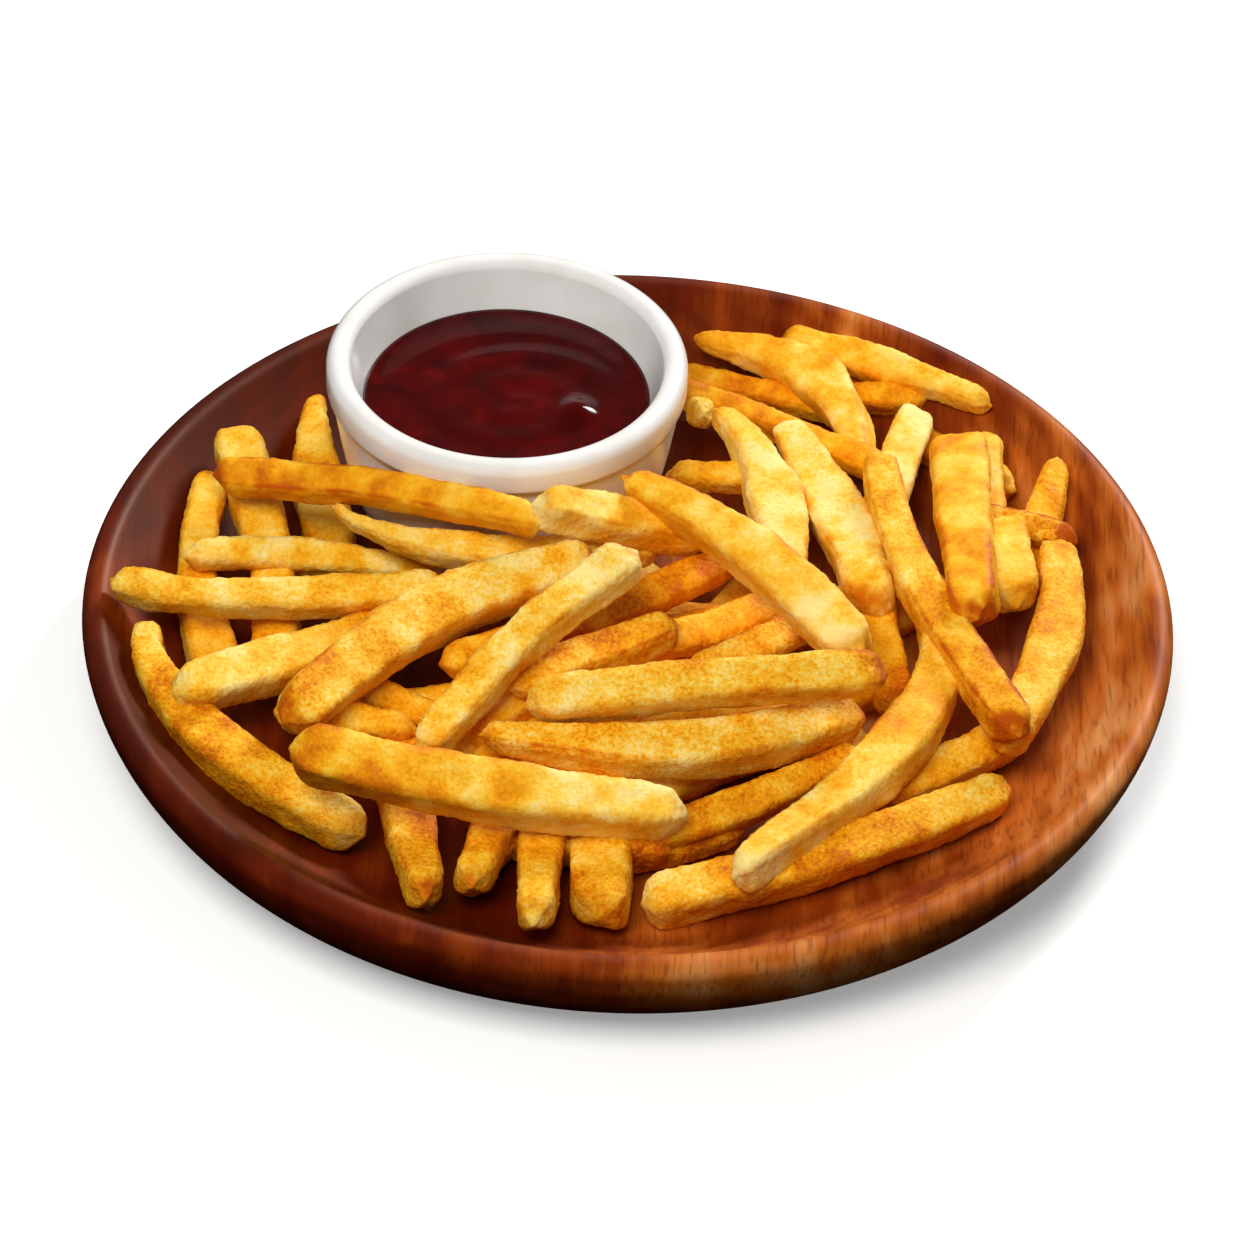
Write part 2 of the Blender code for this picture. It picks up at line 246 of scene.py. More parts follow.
@dataclass(frozen=True)
class OiledAcacia:
    """Acacia, turned on a lathe, sanded, stained warm with oil and rubbed to a satin.

    The growth layers are shells round a line far below the plate, so that the turned wall cuts
    them in long curves and the floor shows them as broad arches. Darker heartwood and lighter
    sapwood lie in wide drifts, and fine short pores run along the grain. Over these lies painted
    light: the wood is made lighter towards the right and a little towards the front, and darker
    to the left and back, where less light falls.
    """

    layer: float = 6.4  # mm between growth layers
    streak: float = 3.2  # mm across a streak
    streak_length: float = 50.0
    drift: float = 46.0  # mm across a drift of heartwood
    pore: float = 0.42  # mm across a pore
    pore_length: float = 6.0
    pith_depth: float = 150.0
    pith_side: float = 38.0
    turn: float = -9.0  # degrees between the grain and the plate's own y axis
    tip: tuple[float, float] = (3.0, 4.0)  # degrees that the growth lines lean in the plate
    bend: float = 0.026  # share of a drift's noise that bends the growth lines, in metres

    def build(self) -> bpy.types.Material:
        """Make the material."""
        material, shader = new_material("oiled_acacia")
        tree = material.node_tree
        add = partial(add_node, tree)
        place = add("ShaderNodeTexCoord").outputs["Object"]
        turned = add(
            "ShaderNodeMapping",
            inputs={
                "Vector": place, "Location": (self.pith_side * MM, 0.0, self.pith_depth * MM),
                "Rotation": tuple(radians(a) for a in (*self.tip, self.turn))
            }
        )
        sway = add(
            "ShaderNodeTexNoise", inputs={"Vector": place, "Scale": 1.0 / (self.drift * MM), "Detail": 2.0}
        )
        swayed = add(
            "ShaderNodeVectorMath", "MULTIPLY_ADD",
            {0: sway.outputs["Color"], 1: (self.bend, 0.0, self.bend), 2: turned}
        )
        flat = add("ShaderNodeVectorMath", "MULTIPLY", {0: swayed, 1: (1.0, 0.0, 1.0)})
        depth = add("ShaderNodeVectorMath", "LENGTH", {0: flat})
        layers = add("ShaderNodeMath", "MULTIPLY", {0: depth.outputs["Value"], 1: tau / (self.layer * MM)})
        wave = add("ShaderNodeMath", "SINE", {0: layers})
        grains = {}
        for name, across, length, detail in (
            ("streaks", self.streak, self.streak_length, 3.0), ("pores", self.pore, self.pore_length, 2.0)
        ):
            stretched = add(
                "ShaderNodeMapping",
                inputs={
                    "Vector": place, "Rotation": (0.0, 0.0, radians(self.turn)),
                    "Scale": (1.0, across / length, 0.25)
                }
            )
            grains[name] = add(
                "ShaderNodeTexNoise",
                inputs={"Vector": stretched, "Scale": 1.0 / (2.0 * across * MM), "Detail": detail}
            )
        # Painted light and shade: a gradient lightens the wood towards the right and a little towards the
        # front, and darkens it to the left and back.
        side = add("ShaderNodeVectorMath", "DOT_PRODUCT", {0: place, 1: (1.4, -0.2, 0.0)})
        streaks_and_painted_side = add(
            "ShaderNodeMath", "MULTIPLY_ADD", {0: grains["streaks"], 1: 0.36, 2: side.outputs["Value"]}
        )
        waved = add("ShaderNodeMath", "MULTIPLY_ADD", {0: wave, 1: 0.02, 2: streaks_and_painted_side})
        drift_and_painted_side = add("ShaderNodeMath", "MULTIPLY_ADD", {0: sway, 1: 0.8, 2: waved})
        tint = set_ramp(
            add("ShaderNodeValToRGB", inputs={"Fac": drift_and_painted_side}),
            [(0.34, "450D01"), (0.52, "611A03"), (0.66, "8A370A"), (0.78, "BC621D"), (0.92, "DC9656")]
        )
        dark = add(
            "ShaderNodeMapRange",
            inputs={"Value": grains["pores"], "From Min": 0.3, "From Max": 0.48, "To Min": 0.55}
        )
        grain = add(
            "ShaderNodeMix", {"data_type": "RGBA"}, {"Factor": dark, "A": linear("4A1505"), "B": tint}
        )
        feed(tree, shader, {"Base Color": grain})
        gloss = add(
            "ShaderNodeMapRange",
            inputs={
                "Value": grains["streaks"], "From Min": 0.3, "From Max": 0.7, "To Min": 0.56, "To Max": 0.46
            }
        )
        feed(tree, shader, {"Roughness": gloss})
        bump = add("ShaderNodeBump", inputs={"Height": dark, "Strength": 0.3, "Distance": 0.08 * MM})
        feed(tree, shader, {"Normal": bump})
        feed(
            tree, shader,
            {
                "Specular IOR Level": 0.38, "Specular Tint": linear("FFBE8C"), "Coat Weight": 0.05,
                "Coat Roughness": 0.42
            }
        )
        return material


@dataclass(frozen=True)
class WhiteGlaze:
    """Stoneware, slip-cast, dipped in an opaque white glaze and fired.

    The glaze is a glassy coat that pools a little, so its reflections waver, and a faint cream
    tone shows where it runs thin.
    """

    ripple: float = 11.0  # mm between the soft swells of the glaze

    def build(self) -> bpy.types.Material:
        """Make the material."""
        material, shader = new_material("white_glazed_stoneware")
        tree = material.node_tree
        add = partial(add_node, tree)
        place = add("ShaderNodeTexCoord").outputs["Object"]
        swell = add(
            "ShaderNodeTexNoise", inputs={"Vector": place, "Scale": 1.0 / (self.ripple * MM), "Detail": 1.0}
        )
        tint = set_ramp(add("ShaderNodeValToRGB", inputs={"Fac": swell}), [(0.3, "ECEBE8"), (0.7, "F6F5F4")])
        feed(tree, shader, {"Base Color": tint})
        bump = add("ShaderNodeBump", inputs={"Height": swell, "Strength": 0.25, "Distance": 0.25 * MM})
        feed(tree, shader, {"Normal": bump})
        feed(
            tree, shader,
            {
                "Roughness": 0.22, "Coat Weight": 0.2, "Coat Roughness": 0.2, "Subsurface Weight": 0.05,
                "Subsurface Scale": 1.5 * MM
            }
        )
        return material


@dataclass(frozen=True)
class TomatoKetchup:
    """Ketchup, spooned in: smooth, wet and nearly opaque, with a darker, browner skin in its folds."""

    fold: float = 9.0  # mm between the soft folds

    def build(self) -> bpy.types.Material:
        """Make the material."""
        material, shader = new_material("tomato_ketchup")
        tree = material.node_tree
        add = partial(add_node, tree)
        place = add("ShaderNodeTexCoord").outputs["Object"]
        folds = add(
            "ShaderNodeTexNoise",
            inputs={"Vector": place, "Scale": 1.0 / (self.fold * MM), "Detail": 2.0, "Distortion": 0.6}
        )
        tint = set_ramp(
            add("ShaderNodeValToRGB", inputs={"Fac": folds}),
            [(0.3, "340000"), (0.6, "480100"), (0.8, "5C0401")]
        )
        feed(tree, shader, {"Base Color": tint})
        feed(
            tree, shader,
            {
                "Roughness": 0.1, "Specular IOR Level": 0.17, "Subsurface Weight": 0.08,
                "Subsurface Radius": (1.0, 0.1, 0.05), "Subsurface Scale": 2.0 * MM
            }
        )
        return material


@dataclass(frozen=True)
class FriedPotato:
    """Potato, cut into sticks and deep-fried.

    The thin crust is full of fine blisters that read as sand. It is mottled with deeper gold,
    browns first along cut edges and at thin ends, and the oil on it gives a soft sheen. Each fry
    carries its own tone, toast and sandiness as an attribute.
    """

    grain: float = 0.5  # mm across a blister
    patch: float = 6.5  # mm across a patch of deeper colour

    def build(self) -> bpy.types.Material:
        """Make the material."""
        material, shader = new_material("fried_potato")
        tree = material.node_tree
        add = partial(add_node, tree)
        place = add("ShaderNodeTexCoord").outputs["Object"]
        looks = add("ShaderNodeAttribute", {"attribute_name": "looks"})
        split = add("ShaderNodeSeparateXYZ", inputs={0: looks.outputs["Vector"]})
        tone, toast, sand = split.outputs
        edge = add("ShaderNodeAttribute", {"attribute_name": "edge"}).outputs["Fac"]
        patches, blisters = (
            add(
                "ShaderNodeTexNoise",
                inputs={"Vector": place, "Scale": 1.0 / (span * MM), "Detail": 3.0, "Roughness": rough}
            ) for span, rough in ((1.3 * self.patch, 0.5), (2.0 * self.grain, 0.7))
        )
        mottle = add(
            "ShaderNodeMapRange",
            inputs={"Value": patches, "From Min": 0.32, "From Max": 0.68, "To Min": -0.28, "To Max": 0.28}
        )
        grit = add(
            "ShaderNodeMapRange",
            inputs={"Value": blisters, "From Min": 0.3, "From Max": 0.7, "To Min": 0.5, "To Max": -0.5}
        )
        speckle = add("ShaderNodeMath", "MULTIPLY_ADD", {0: sand, 1: 0.5, 2: 0.16})
        lighter = add("ShaderNodeMath", "MULTIPLY_ADD", {0: tone, 1: 0.92, 2: -0.01})
        patched = add("ShaderNodeMath", "ADD", {0: mottle, 1: lighter})
        level = add("ShaderNodeMath", "MULTIPLY_ADD", {0: grit, 1: speckle, 2: patched})
        crust = set_ramp(
            add("ShaderNodeValToRGB", inputs={"Fac": level}),
            [(0.0, "FFE690"), (0.25, "FFD150"), (0.5, "FBB51C"), (0.75, "EA930A"), (1.0, "CA6806")]
        )
        dust = add(
            "ShaderNodeMapRange", inputs={"Value": grit, "From Min": 0.25, "From Max": 0.55, "To Max": 0.18}
        )
        dusted = add("ShaderNodeMath", "MULTIPLY", {0: dust, 1: sand})
        sandy = add(
            "ShaderNodeMix", {"data_type": "RGBA"}, {"Factor": dusted, "A": crust, "B": linear("A8761A")}
        )
        rim = add(
            "ShaderNodeMapRange", {"interpolation_type": "SMOOTHSTEP"},
            {"Value": edge, "From Min": 0.64, "From Max": 1.0, "To Min": 0.12, "To Max": 1.6}
        )
        burnt = add("ShaderNodeMath", "MULTIPLY", {0: rim, 1: toast})
        ragged = add(
            "ShaderNodeMapRange",
            inputs={"Value": patches, "From Min": 0.36, "From Max": 0.64, "To Max": 0.85}
        )
        scorch = add("ShaderNodeMath", {"operation": "MULTIPLY", "use_clamp": True}, {0: burnt, 1: ragged})
        browned = add(
            "ShaderNodeMix", {"data_type": "RGBA"}, {"Factor": scorch, "A": sandy, "B": linear("C65A0A")}
        )
        feed(tree, shader, {"Base Color": browned})
        sheen = add(
            "ShaderNodeMapRange",
            inputs={"Value": blisters, "From Min": 0.3, "From Max": 0.7, "To Min": 0.42, "To Max": 0.75}
        )
        feed(tree, shader, {"Roughness": sheen})
        relief = add("ShaderNodeMath", "MULTIPLY", {0: blisters, 1: speckle})
        bump = add("ShaderNodeBump", inputs={"Height": relief, "Strength": 1.0, "Distance": 0.9 * MM})
        feed(tree, shader, {"Normal": bump})
        feed(
            tree, shader,
            {
                "Specular IOR Level": 0.22, "Subsurface Weight": 0.1, "Subsurface Radius": (1.0, 0.45, 0.08),
                "Subsurface Scale": 2.0 * MM
            }
        )
        return material


# ---------------------------------------------------------------- plate, ramekin and ketchup


@dataclass
class Plate:
    """The turned plate, with the same outline as its solid but smooth.

    Its widths and heights come from the CAD box; the rest shapes the wall between them.
    """

    floor_level: float = 8.0
    floor_radius: float = 96.0
    crest_inset: float = 5.1
    base_inset: float = 20.0
    widest_drop: float = 3.6
    dish_power: float = 1.45
    belly_power: float = 1.25
    steps: int = 180

    def __post_init__(self) -> None:
        """Read the radius and the height from the frame."""
        low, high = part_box("plate")
        self.radius = 0.5 * (high.x - low.x) / MM
        self.crest_level = high.z / MM

    def dish_level(self, radius: float) -> float:
        """Height of the inner face at a distance from the axis."""
        rise = max((radius - self.floor_radius) / (self.radius - self.crest_inset - self.floor_radius), 0.0)
        return self.floor_level + (self.crest_level - self.floor_level) * rise ** self.dish_power

    def profile(self) -> list[tuple[float, float]]:
        """Outline from the axis over the floor, wall and rim to the base."""
        rim = self.widest_drop
        dish_end = self.radius - self.crest_inset - 1.5
        floor = [(0.0, self.floor_level)] + [
            (self.floor_radius * k / 6, self.floor_level) for k in range(1, 6)
        ]
        wall = [self.floor_radius + (dish_end - self.floor_radius) * k / 24 for k in range(25)]
        dish = [(r, self.dish_level(r)) for r in wall]
        crest = arc((self.radius - rim, self.crest_level - rim), rim, 130.0, 0.0, 14)
        belly = []
        for k in range(1, 33):
            angle = 0.5 * pi * (1.0 - k / 32)
            reach = sin(angle) ** self.belly_power
            drop = max(cos(angle), 0.0) ** self.belly_power
            belly.append(
                (self.radius - self.base_inset * (1.0 - reach), (self.crest_level - rim) * (1.0 - drop))
            )
        return floor + dish + crest + belly + [(0.0, 0.0)]

    def build(self, finish: OiledAcacia) -> bpy.types.Object:
        """Make the plate."""
        mesh = turned_mesh("plate_turned", self.profile(), self.steps)
        return add_piece("plate_turned", mesh, finish.build(), "oiled_wood", "plate")


@dataclass
class Ramekin:
    """The glazed ramekin: a tapered cup with a thick rounded mouth and a band round it."""

    wall: float = 6.1  # across the mouth's rim
    neck_inset: float = 1.2
    foot_inset: float = 14.0
    band: float = 8.6
    flare_power: float = 0.4
    well_radius: float = 26.0
    well_fillet: float = 5.0
    floor_thickness: float = 5.0
    steps: int = 144

    def __post_init__(self) -> None:
        """Read the place, the width and the height from the frame."""
        low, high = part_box("ramekin")
        self.centre = (0.5 * (low.x + high.x) / MM, 0.5 * (low.y + high.y) / MM)
        self.radius = 0.5 * (high.x - low.x) / MM
        self.foot_level = low.z / MM
        self.top_level = high.z / MM
        self.ketchup_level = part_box("ketchup")[1].z / MM
        self.ketchup_radius = 0.5 * (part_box("ketchup")[1].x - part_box("ketchup")[0].x) / MM

    def inside(self, clearance: float = 0.0) -> list[tuple[float, float]]:
        """Inner face from the floor's axis up to the ketchup's level, shrunk by a clearance."""
        floor = self.foot_level + self.floor_thickness + clearance
        middle = (self.well_radius, floor + self.well_fillet)
        corner = arc(middle, self.well_fillet - clearance, -90.0, 0.0, 8)
        return [(0.0, corner[0][1])] + corner + [(self.ketchup_radius + 0.3 - clearance, self.ketchup_level)]

    def profile(self) -> list[tuple[float, float]]:
        """Outline from the well's axis over the mouth and down the outer side."""
        lip = 0.5 * self.wall
        mouth = arc((self.radius - lip, self.top_level - lip), lip, 180.0, 0.0, 20)
        neck = self.top_level - self.band
        crease = [
            (self.radius, neck + 1.5), (self.radius - 0.15, neck + 0.9), (self.radius - 0.5, neck + 0.4)
        ]
        crease += [(self.radius - 0.9, neck + 0.1), (self.radius - self.neck_inset, neck)]
        body = []
        for k in range(1, 25):
            share = (1.0 - k / 24) ** 1.6
            flare = (self.foot_inset - self.neck_inset) * share ** self.flare_power
            body.append(
                (self.radius - self.foot_inset + flare, self.foot_level + (neck - self.foot_level) * share)
            )
        return self.inside() + mouth + crease + body + [(0.0, self.foot_level)]

    def build(self, finish: WhiteGlaze) -> bpy.types.Object:
        """Make the ramekin."""
        mesh = turned_mesh("ramekin_glazed", self.profile(), self.steps, self.centre)
        return add_piece("ramekin_glazed", mesh, finish.build(), "white_glaze", "ramekin")


@dataclass
class Ketchup:
    """The ketchup: it climbs a little at the wall, and its surface keeps the swirl of the spoon."""

    ramekin: Ramekin
    climb: float = 0.5
    swirl: float = 0.38
    swirl_pitch: float = 11.0
    dab: tuple[float, float] = (17.6, -5.0)
    dab_height: float = 2.1
    dab_reach: float = 3.4
    rings: int = 46

    def level(self, x: float, y: float, radius: float) -> float:
        """Height of the surface at a place given from the ramekin's axis.

        Args:
            x: Place to the right, in millimetres.
            y: Place to the back, in millimetres.
            radius: Radius of the surface there.

        Returns:
            The height in millimetres.
        """
        out = hypot(x, y) / radius
        turn = atan2(y + 1.5, x - 2.0)
        spiral = hypot(x - 2.0, (y + 1.5) * 1.15) / self.swirl_pitch * tau + turn
        fold = sin(spiral) * (1.0 - out ** 3)
        edge = max(out - 0.9, 0.0) / 0.1
        away = hypot(x - self.dab[0], y - self.dab[1]) / self.dab_reach
        relief = self.swirl * 0.5 * (fold - 1.0) + self.dab_height * exp(-0.5 * away ** 2)
        return self.ramekin.ketchup_level - self.climb + relief + self.climb * edge ** 2

    def build(self, finish: TomatoKetchup) -> bpy.types.Object:
        """Make the ketchup."""
        outline = self.ramekin.inside(0.3)[::-1]
        radius = outline[0][0]
        top = [(radius * k / self.rings, self.ramekin.ketchup_level) for k in range(self.rings + 1)]
        mesh = turned_mesh("ketchup_fill", top + outline[1:], self.ramekin.steps, self.ramekin.centre)
        for vertex in mesh.vertices:
            x = vertex.co.x / MM - self.ramekin.centre[0]
            y = vertex.co.y / MM - self.ramekin.centre[1]
            if vertex.co.z / MM > self.ramekin.ketchup_level - 0.01:
                vertex.co.z = self.level(x, y, radius) * MM
        return add_piece("ketchup_fill", mesh, finish.build(), "ketchup", "ketchup")


# ---------------------------------------------------------------- fries


@dataclass(frozen=True)
class Fry:
    """One fry, in millimetres: the middles of its two ends, its widths and its thickness.

    bow moves its middle to the left, seen from tail to tip, and a curl below 1 brings the
    strongest bend nearer to the tail. tones runs from 0, pale cream, to 1, deep golden brown;
    toast is how brown its edges are; both are given at the tail, the middle and the tip.
    """

    tail: tuple[float, float, float]
    tip: tuple[float, float, float]
    widths: tuple[float, float, float]
    thickness: float
    bow: float = 0.0
    curl: float = 1.0
    tones: tuple[float, float, float] = (0.5, 0.5, 0.5)
    toast: tuple[float, float, float] = (0.3, 0.3, 0.3)
    sand: float = 0.5

    def between(self, values: tuple[float, float, float], share: float) -> float:
        """Value at a share of the length, in straight runs between the three stated ones."""
        first, middle, last = values
        if share < 0.5:
            return first + (middle - first) * 2.0 * share
        return middle + (last - middle) * (2.0 * share - 1.0)


FRONT_FRIES = (
    Fry((-74, -73, 40), (13, -75, 26), (13, 12, 10), 12, -3, 1,
        (0.72, 0.5, 0.1), (0.45, 0.3, 0.1), 0.35),
    Fry((-21, -46, 33), (59, -42, 43), (9, 10, 9), 11, 1, 1,
        (0.25, 0.5, 0.62), (0.1, 0.35, 0.7), 0.9),
    Fry((-32, -50, 26), (54, -38, 26), (5, 12, 9), 11, -9, 1,
        (0.55, 0.3, 0.6), (0.8, 0.2, 0.7), 1),
    Fry((-1, -78, 18), (54, -43, 18), (8, 8, 7), 9, -2, 1,
        (0.8, 0.75, 0.8), (0.5, 0.4, 0.5), 0.7),
    Fry((71, 5, 27), (27, -90, 22), (9, 12, 8), 10, 16, 0.75,
        (0.5, 0.52, 0.15), (0.4, 0.35, 0.5), 0.5),
    Fry((7, -92, 14), (89, -53, 17), (11, 10, 9), 11, -3, 1,
        (0.45, 0.75, 0.45), (0.3, 0.3, 0.1), 0.8),
    Fry((94, -29, 15), (61, -53, 14), (9, 9, 9), 9, 0, 1,
        (0.7, 0.6, 0.6), (0.4, 0.3, 0.4), 0.6),
    Fry((-26, -72, 14), (10, -77, 17), (8, 8, 7), 9, 0, 1,
        (0.8, 0.8, 0.85), (0.6, 0.5, 0.6), 0.8),
    Fry((-4, -78, 13), (27, -66, 13), (6, 6, 5), 7, 0, 1,
        (0.8, 0.8, 0.8), (0.6, 0.5, 0.6), 0.8),
)

FRONT_ENDS = (
    Fry((-53, -43, 14), (-44, -99, 20), (12, 12, 7), 10, 0, 1,
        (0.75, 0.72, 0.62), (0.3, 0.3, 0.7), 0.8),
    Fry((-24, -46, 14), (-33, -93, 19), (10, 10, 8), 10, 0, 1,
        (0.7, 0.7, 0.62), (0.3, 0.3, 0.6), 0.6),
    Fry((-21, -61, 13), (-36, -88, 14), (8, 8, 7), 8, 0, 1,
        (0.6, 0.6, 0.6), (0.5, 0.4, 0.6), 0.6),
    Fry((-17, -50, 14), (-19, -105, 20), (10, 10, 8), 10, 0, 1,
        (0.7, 0.68, 0.45), (0.4, 0.3, 0.3), 0.6),
    Fry((-5, -47, 14), (-4, -98, 16), (13, 14, 12), 12, 0, 1,
        (0.7, 0.7, 0.58), (0.3, 0.3, 0.3), 0.7),
)

MIDDLE_FRIES = (
    Fry((-1, 17, 50), (54, -27, 37), (6, 12, 11), 11, 4, 1,
        (0.75, 0.35, 0.15), (0.9, 0.3, 0.1), 0.25),
    Fry((0, -12, 51), (-46, -55, 26), (10, 9, 8), 9, -3, 1.4,
        (0.1, 0.35, 0.4), (0.5, 0.5, 0.3), 0.6),
    Fry((-42, -24, 26), (23, 13, 29), (8, 8, 8), 9, -3, 1,
        (0.75, 0.85, 0.95), (0.6, 0.6, 0.6), 0.5),
    Fry((-26, -34, 28), (10, -13, 30), (8, 9, 8), 9, 0, 1,
        (0.6, 0.6, 0.6), (0.3, 0.4, 1), 0.9),
    Fry((0, -15, 24), (45, 13, 24), (8, 8, 8), 8, -3, 1,
        (0.6, 0.6, 0.6), (0.3, 0.3, 0.4), 0.5),
    Fry((15, -23, 24), (50, 0, 27), (7, 8, 8), 8, 0, 1,
        (0.5, 0.55, 0.6), (0.3, 0.4, 0.5), 1),
    Fry((56, 25, 23), (64, -25, 19), (9, 9, 9), 9, 0, 1,
        (0.8, 0.7, 0.8), (0.4, 0.4, 0.4), 0.5),
    Fry((-35, -42, 20), (-3, -11, 23), (8, 8, 8), 9, 0, 1,
        (0.6, 0.6, 0.6), (0.3, 0.3, 0.3), 0.4),
    Fry((-22, 4, 52), (19, 15, 34), (9, 9, 8), 10, 0, 1,
        (0.15, 0.45, 0.6), (0.3, 0.5, 0.7), 0.3),
    Fry((10, 52, 24), (37, 46, 28), (6, 6, 6), 8, 0, 1,
        (0.6, 0.6, 0.6), (0.3, 0.3, 0.3), 0.3),
)

LEFT_FRIES = (
    Fry((-100, 32, 35), (-22, 3, 48), (8, 8, 7), 8, 3, 1,
        (0.8, 0.7, 0.6), (1, 0.9, 0.6), 0.1),
    Fry((-71, 21, 35), (6, 12, 33), (3, 8, 6), 9, -10, 0.75,
        (0.35, 0.35, 0.45), (0.5, 0.3, 0.3), 0.5),
    Fry((-105, 10, 28), (-47, 15, 21), (6, 8, 5), 8, 3, 0.75,
        (0.3, 0.3, 0.45), (0.2, 0.2, 0.4), 0.4),
    Fry((-122, -3, 30), (-45, -1, 29), (7, 8, 8), 9, -5, 0.75,
        (0.5, 0.32, 0.4), (0.3, 0.15, 0.3), 0.6),
    Fry((-78, -50, 30), (-9, 2, 37), (11, 14, 9), 12, 8, 1,
        (0.6, 0.36, 0.35), (0.6, 0.35, 0.5), 0.85),
    Fry((-104, -41, 29), (-57, -8, 21), (10, 11, 10), 10, 0, 1,
        (0.25, 0.35, 0.6), (0.1, 0.3, 0.6), 0.6),
    Fry((-113, -15, 25), (-61, -72, 15), (7, 11, 10), 11, -11, 0.75,
        (0.45, 0.8, 0.38), (0.1, 0.2, 0.2), 0.8),
    Fry((-103, 45, 23), (-97, -18, 14), (8, 9, 11), 9, -4, 1,
        (0.5, 0.55, 0.55), (0.3, 0.3, 0.3), 0.3),
    Fry((-98, 57, 28), (-83, -14, 15), (11, 11, 10), 10, 3, 1,
        (0.45, 0.5, 0.6), (0.3, 0.3, 0.3), 0.4),
    Fry((-79, 81, 21), (-71, 28, 14), (4, 12, 11), 10, -3, 0.75,
        (0.5, 0.5, 0.6), (0.3, 0.3, 0.4), 0.4),
    Fry((-80, -37, 20), (-50, -43, 21), (8, 8, 6), 9, 0, 1,
        (0.6, 0.6, 0.6), (0.3, 0.3, 0.3), 0.5),
    Fry((-67, -26, 20), (-29, -41, 17), (7, 7, 7), 8, 0, 1,
        (0.55, 0.6, 0.6), (0.3, 0.3, 0.3), 0.5),
)

RIGHT_FRIES = (
    Fry((61, 48, 34), (91, -46, 30), (8, 10, 9), 10, -6, 0.75,
        (0.45, 0.5, 0.75), (0.4, 0.4, 1.6), 0.6),
    Fry((79, 60, 30), (82, -13, 37), (13, 13, 10), 10, 0, 1,
        (0.55, 0.6, 0.7), (0.1, 0.2, 1.5), 0.15),
    Fry((88, 71, 23), (86, 21, 24), (6, 7, 7), 8, 0, 1,
        (0.3, 0.4, 0.5), (0.3, 0.3, 0.3), 0.2),
    Fry((70, 81, 22), (57, 24, 15), (9, 10, 10), 10, -1, 1,
        (0.15, 0.3, 0.5), (0.2, 0.2, 0.3), 0.2),
    Fry((16, 107, 24), (56, 58, 24), (4, 12, 6), 11, 13, 1,
        (0.6, 0.42, 0.35), (0.3, 0.2, 0.6), 0.15),
    Fry((38, 111, 22), (87, 82, 26), (7, 8, 5), 8, 2, 1.4,
        (0.6, 0.5, 0.4), (0.3, 0.3, 0.3), 0.15),
    Fry((36, 92, 17), (72, 92, 20), (7, 7, 7), 8, 0, 1,
        (0.7, 0.7, 0.7), (0.3, 0.3, 0.3), 0.3),
    Fry((20, 65, 34), (39, 9, 23), (4, 13, 8), 10, 5, 0.75,
        (0.3, 0.15, 0.4), (0.3, 0.2, 0.4), 0.3),
    Fry((17, 69, 30), (16, 90, 16), (4, 6, 7), 7, 0, 1,
        (0.45, 0.45, 0.5), (0.5, 0.2, 0.2), 0.3),
    Fry((38, 68, 26), (58, 0, 28), (8, 13, 11), 11, 3, 1.4,
        (0.3, 0.15, 0.4), (0.4, 0.3, 0.55), 0.4),
    Fry((11, 102, 17), (55, 84, 19), (6, 6, 6), 7, 0, 1,
        (0.7, 0.7, 0.7), (0.4, 0.3, 0.4), 0.2),
    Fry((11, 88, 21), (61, 56, 25), (6, 6, 6), 8, 2, 1,
        (0.7, 0.7, 0.7), (0.4, 0.3, 0.4), 0.2),
    Fry((90, 29, 30), (92, 2, 29), (10, 11, 11), 10, 0, 1,
        (0.5, 0.4, 0.55), (0.1, 0.2, 0.3), 0.2),
    Fry((101, 23, 29), (89, -42, 22), (8, 12, 9), 10, 6, 0.75,
        (0.55, 0.55, 0.5), (0.3, 0.4, 0.4), 0.7),
    Fry((104, 58, 27), (97, 28, 16), (6, 8, 8), 8, 0, 1,
        (0.55, 0.5, 0.6), (0.3, 0.3, 0.4), 0.2),
    Fry((67, 83, 15), (93, 58, 19), (7, 8, 8), 8, 0, 1,
        (0.5, 0.5, 0.5), (0.3, 0.3, 0.3), 0.2),
    Fry((81, 40, 25), (106, 31, 25), (6, 7, 7), 8, 0, 1,
        (0.7, 0.7, 0.8), (3, 3, 4), 1),
)


class Group(Enum):
    """The fries that are made as one piece, with the fineness of their mesh."""

    FRONT = ("fries_front", FRONT_FRIES + FRONT_ENDS, 104, 12)
    MIDDLE = ("fries_middle", MIDDLE_FRIES, 104, 12)
    LEFT = ("fries_left", LEFT_FRIES, 104, 12)
    RIGHT = ("fries_right", RIGHT_FRIES, 96, 12)


